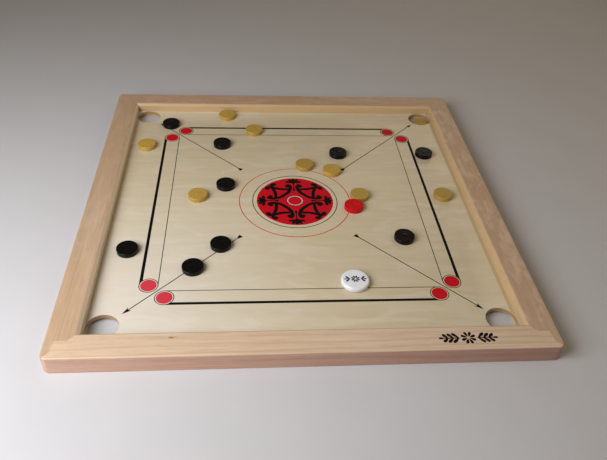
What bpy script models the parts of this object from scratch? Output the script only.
"""Family carrom board: a lock-mitred hardwood frame, a plywood playing board with four corner
pockets held in the frame's groove, and the set of men that lies on it.

Metres, +Z up. The frame stands on z = 0, centred on the Z axis, with the striker's side at -Y.
"""

import math

import bmesh
import bpy
from mathutils import Vector

# Frame
OUTER_HALF = 0.325
FRAME_HEIGHT = 0.027
INNER_HALF = 0.2848
INNER_CHAMFER = 0.0038
UPPER_ARRIS = 0.0025
LOWER_ARRIS = 0.001
CORNER_RADIUS = 0.0085
TOP_ROUND = 0.0022
BOTTOM_CHAMFER = 0.0004
LOCK_START = 0.0102
LOCK_END = 0.0274
LOCK_TAPER = 0.002

# Playing board
BOARD_TOP = 0.0116
BOARD_THICKNESS = 0.0065
GROOVE_DEPTH = 0.006
POCKET_RADIUS = 0.0213
POCKET_CENTRE = 0.2634

# Men and striker
MAN_RADIUS = 0.0156
MAN_HEIGHT = 0.0075
MAN_EDGE = 0.0008
STRIKER_RADIUS = 0.0203
STRIKER_HEIGHT = 0.0082
STRIKER_EDGE = 0.003

# Clearances and fineness
GAP = 0.0003
OVERSHOOT = 0.02
MERGE = 1e-6
TOP_SKIM = 0.00002
CORNER_STEPS = 8
ROUND_STEPS = 4
ARRIS_STEPS = 4
POCKET_SEGMENTS = 64
MAN_SEGMENTS = 36
STRIKER_SEGMENTS = 48
SMOOTH_ANGLE = math.radians(40)

BLACK_MEN = [
    (-0.2185, 0.2325),
    (-0.1220, 0.1645),
    (0.0855, 0.1350),
    (0.2436, 0.1358),
    (-0.1130, 0.0395),
    (0.1620, -0.0965),
    (-0.1170, -0.1100),
    (-0.1550, -0.1585),
    (-0.2510, -0.1193),
]
NATURAL_MEN = [
    (-0.1150, 0.2652),
    (-0.0640, 0.2110),
    (-0.2550, 0.1590),
    (0.0224, 0.0970),
    (0.0685, 0.0805),
    (-0.1570, 0.0100),
    (0.1075, 0.0100),
    (0.2490, 0.0105),
]
POCKETED_MAN = (0.2654, 0.2586)
QUEEN = (0.0940, -0.0200)
STRIKER = (0.0729, -0.1905)

MAPLE = (0.68, 0.50, 0.34, 1.0)
BIRCH_PLY = (0.66, 0.56, 0.40, 1.0)
BLACK = (0.012, 0.013, 0.013, 1.0)
NATURAL = (0.55, 0.38, 0.14, 1.0)
RED = (0.60, 0.02, 0.025, 1.0)
WHITE = (0.85, 0.85, 0.87, 1.0)


def clear_scene():
    for obj in list(bpy.data.objects):
        bpy.data.objects.remove(obj, do_unlink=True)


def new_material(name, colour, roughness):
    material = bpy.data.materials.new(name)
    material.use_nodes = True
    shader = material.node_tree.nodes["Principled BSDF"]
    shader.inputs["Base Color"].default_value = colour
    shader.inputs["Roughness"].default_value = roughness
    shader.inputs["Metallic"].default_value = 0.0
    return material


def link_mesh(name, mesh, material=None):
    obj = bpy.data.objects.new(name, mesh)
    if material:
        obj.data.materials.append(material)
    bpy.context.scene.collection.objects.link(obj)
    return obj


def finish_mesh(name, bm):
    """The closed, outward-facing, smooth-shaded mesh of a bmesh."""
    bmesh.ops.recalc_face_normals(bm, faces=bm.faces)
    mesh = bpy.data.meshes.new(name)
    bm.to_mesh(mesh)
    bm.free()
    mesh.shade_smooth()
    mesh.set_sharp_from_angle(angle=SMOOTH_ANGLE)
    return mesh


def extruded(name, outline, direction):
    """A prism: the outline's 3-D points, extruded along the direction."""
    bm = bmesh.new()
    face = bm.faces.new([bm.verts.new(point) for point in outline])
    swept = bmesh.ops.extrude_face_region(bm, geom=[face])["geom"]
    moved = [item for item in swept if isinstance(item, bmesh.types.BMVert)]
    bmesh.ops.translate(bm, verts=moved, vec=direction)
    return finish_mesh(name, bm)


def turned(name, profile, steps):
    """A turned solid: the profile of (radius, z) points starts and ends on the axis."""
    bm = bmesh.new()
    points = [bm.verts.new((radius, 0.0, z)) for radius, z in profile]
    edges = [bm.edges.new(pair) for pair in zip(points, points[1:])]
    bmesh.ops.spin(
        bm,
        geom=points + edges,
        axis=(0.0, 0.0, 1.0),
        cent=(0.0, 0.0, 0.0),
        angle=math.tau,
        steps=steps,
    )
    bmesh.ops.remove_doubles(bm, verts=bm.verts, dist=MERGE)
    return finish_mesh(name, bm)


def cutter(name, mesh, turn=0.0):
    obj = link_mesh(name, mesh)
    obj.rotation_euler.z = turn
    obj.hide_render = True
    obj.display_type = "WIRE"
    return obj


def boolean(obj, other, operation):
    modifier = obj.modifiers.new(other.name, "BOOLEAN")
    modifier.object = other
    modifier.operation = operation
    modifier.solver = "EXACT"


def slab_layers():
    """(inset, z) of the frame's outer skin, from the bottom edge up over the rounded top edge."""
    layers = [(BOTTOM_CHAMFER, 0.0), (0.0, BOTTOM_CHAMFER)]
    for step in range(ROUND_STEPS + 1):
        angle = math.pi / 2 * step / ROUND_STEPS
        inset = TOP_ROUND * (1 - math.cos(angle))
        layers.append((inset, FRAME_HEIGHT - TOP_ROUND * (1 - math.sin(angle))))
    return layers


def rounded_square(inset, z):
    centre = OUTER_HALF - CORNER_RADIUS
    radius = CORNER_RADIUS - inset
    points = []
    for corner in range(4):
        start = math.pi / 2 * corner
        cx = centre * math.copysign(1, math.cos(start + math.pi / 4))
        cy = centre * math.copysign(1, math.sin(start + math.pi / 4))
        for step in range(CORNER_STEPS + 1):
            angle = start + math.pi / 2 * step / CORNER_STEPS
            points.append((cx + radius * math.cos(angle), cy + radius * math.sin(angle), z))
    return points


def frame_skin():
    """The whole frame's outer shape as one block: rounded corners and a rounded top edge."""
    bm = bmesh.new()
    rings = [[bm.verts.new(point) for point in rounded_square(*layer)] for layer in slab_layers()]
    for lower, upper in zip(rings, rings[1:]):
        for i in range(len(lower)):
            after = (i + 1) % len(lower)
            bm.faces.new((lower[i], lower[after], upper[after], upper[i]))
    bm.faces.new(rings[0])
    bm.faces.new(rings[-1])
    return finish_mesh("frame_skin", bm)


def rounded_corner(before, corner, after, radius):
    """Points of the arc that rounds the corner between two straight sides."""
    back = (before - corner).normalized()
    ahead = (after - corner).normalized()
    half_angle = back.angle(ahead) / 2
    reach = radius / math.tan(half_angle)
    centre = corner + (back + ahead).normalized() * radius / math.sin(half_angle)
    start = corner + back * reach - centre
    end = corner + ahead * reach - centre
    arms = [start.slerp(end, step / ARRIS_STEPS).normalized() for step in range(ARRIS_STEPS + 1)]
    return [tuple(centre + arm * radius) for arm in arms]


def rail_section():
    """Section of a front rail as (y, z): the inner edge's chamfer with its rounded arrises, and
    the groove for the board. The upper arc ends just above the frame's top, which cuts it."""
    outer = -OUTER_HALF - OVERSHOOT
    inner = -INNER_HALF
    wall_foot = Vector((inner, BOARD_TOP))
    wall_top = Vector((inner, FRAME_HEIGHT - INNER_CHAMFER))
    lip = Vector((inner - INNER_CHAMFER - TOP_SKIM, FRAME_HEIGHT + TOP_SKIM))
    top_end = Vector((outer, FRAME_HEIGHT + TOP_SKIM))
    arcs = rounded_corner(wall_foot, wall_top, lip, LOWER_ARRIS)
    arcs += rounded_corner(wall_top, lip, top_end, UPPER_ARRIS)
    groove = inner - GROOVE_DEPTH
    groove_low = BOARD_TOP - BOARD_THICKNESS - GAP
    groove_high = BOARD_TOP + GAP
    return [
        (outer, -OVERSHOOT),
        (inner, -OVERSHOOT),
        (inner, groove_low),
        (groove, groove_low),
        (groove, groove_high),
        (inner, groove_high),
        *arcs,
        tuple(top_end),
    ]


def seam(offset):
    """Lock-mitre line of the near left corner, from outside the frame to inside it, moved by
    offset towards the front rail. The middle of the line steps round the front rail's tongue,
    which tapers towards its end."""
    slant = offset * math.sqrt(2)
    outer = -OUTER_HALF + LOCK_START
    inner = -OUTER_HALF + LOCK_END
    before = -OUTER_HALF - OVERSHOOT
    after = -INNER_HALF + OVERSHOOT
    return [
        (before, before - slant),
        (outer + offset, outer + offset - slant),
        (outer + LOCK_TAPER + offset, inner - offset),
        (inner - offset + slant, inner - offset),
        (after, after - slant),
    ]


def rail_plan(tongued):
    """Plan of a rail in the front rail's place, with tongues or with the sockets they fill."""
    if tongued:
        end = seam(GAP / 2)
    else:
        end = [(y, x) for x, y in seam(-GAP / 2)]
    return end + [(-x, y) for x, y in reversed(end)]


def make_rail(name, skin, tongued, turn):
    length = 2 * (OUTER_HALF + OVERSHOOT)
    start = -length / 2
    section = [(start, y, z) for y, z in rail_section()]
    bar = extruded(name, section, (length, 0.0, 0.0))
    rail = link_mesh(name, bar, new_material(name, MAPLE, 0.45))
    rail.rotation_euler.z = turn
    plan = [(x, y, -OVERSHOOT) for x, y in rail_plan(tongued)]
    prism = extruded(name + "_plan", plan, (0.0, 0.0, FRAME_HEIGHT + 2 * OVERSHOOT))
    boolean(rail, skin, "INTERSECT")
    boolean(rail, cutter(name + "_plan", prism, turn), "INTERSECT")
    return rail


def make_frame():
    skin = cutter("frame_skin", frame_skin())
    make_rail("front_rail", skin, True, 0.0)
    make_rail("back_rail", skin, True, math.pi)
    make_rail("left_rail", skin, False, -math.pi / 2)
    make_rail("right_rail", skin, False, math.pi / 2)


def make_playing_board():
    half = INNER_HALF + GROOVE_DEPTH - 2 * GAP
    low = BOARD_TOP - BOARD_THICKNESS
    outline = [(-half, -half, low), (half, -half, low), (half, half, low), (-half, half, low)]
    mesh = extruded("playing_board", outline, (0.0, 0.0, BOARD_THICKNESS))
    board = link_mesh("playing_board", mesh, new_material("playing_board", BIRCH_PLY, 0.3))
    depth = BOARD_THICKNESS / 2 + OVERSHOOT
    profile = [(0.0, depth), (POCKET_RADIUS, depth), (POCKET_RADIUS, -depth), (0.0, -depth)]
    bore = turned("pocket", profile, POCKET_SEGMENTS)
    for side_x in (-1, 1):
        for side_y in (-1, 1):
            pocket = cutter("pocket_cutter", bore)
            pocket.location = (side_x * POCKET_CENTRE, side_y * POCKET_CENTRE, BOARD_TOP)
            boolean(board, pocket, "DIFFERENCE")


def man_profile():
    flat = MAN_RADIUS - MAN_EDGE
    return [
        (0.0, MAN_HEIGHT),
        (flat, MAN_HEIGHT),
        (MAN_RADIUS, MAN_HEIGHT - MAN_EDGE),
        (MAN_RADIUS, MAN_EDGE),
        (flat, 0.0),
        (0.0, 0.0),
    ]


def striker_profile():
    flat = STRIKER_RADIUS - STRIKER_EDGE
    arc = [math.pi / 2 * step / ROUND_STEPS for step in range(ROUND_STEPS + 1)]
    top = [
        (
            flat + STRIKER_EDGE * math.sin(angle),
            STRIKER_HEIGHT - STRIKER_EDGE * (1 - math.cos(angle)),
        )
        for angle in arc
    ]
    bottom = [(radius, STRIKER_HEIGHT - z) for radius, z in reversed(top)]
    return [(0.0, STRIKER_HEIGHT)] + top + bottom + [(0.0, 0.0)]


def place(name, mesh, material, spot, z):
    disc = link_mesh(name, mesh)
    if not mesh.materials:
        mesh.materials.append(material)
    disc.location = (spot[0], spot[1], z)
    return disc


def make_men():
    resting = BOARD_TOP + GAP
    black = turned("black_man", man_profile(), MAN_SEGMENTS)
    natural = turned("natural_man", man_profile(), MAN_SEGMENTS)
    black_finish = new_material("black_man", BLACK, 0.35)
    natural_finish = new_material("natural_man", NATURAL, 0.45)
    for number, spot in enumerate(BLACK_MEN, start=1):
        place(f"black_man_{number}", black, black_finish, spot, resting)
    for number, spot in enumerate(NATURAL_MEN, start=1):
        place(f"natural_man_{number}", natural, natural_finish, spot, resting)
    place(f"natural_man_{len(NATURAL_MEN) + 1}", natural, natural_finish, POCKETED_MAN, 0.0)
    queen = turned("queen", man_profile(), MAN_SEGMENTS)
    place("queen", queen, new_material("queen", RED, 0.35), QUEEN, resting)
    striker = turned("striker", striker_profile(), STRIKER_SEGMENTS)
    place("striker", striker, new_material("striker", WHITE, 0.15), STRIKER, resting)


clear_scene()
make_frame()
make_playing_board()
make_men()
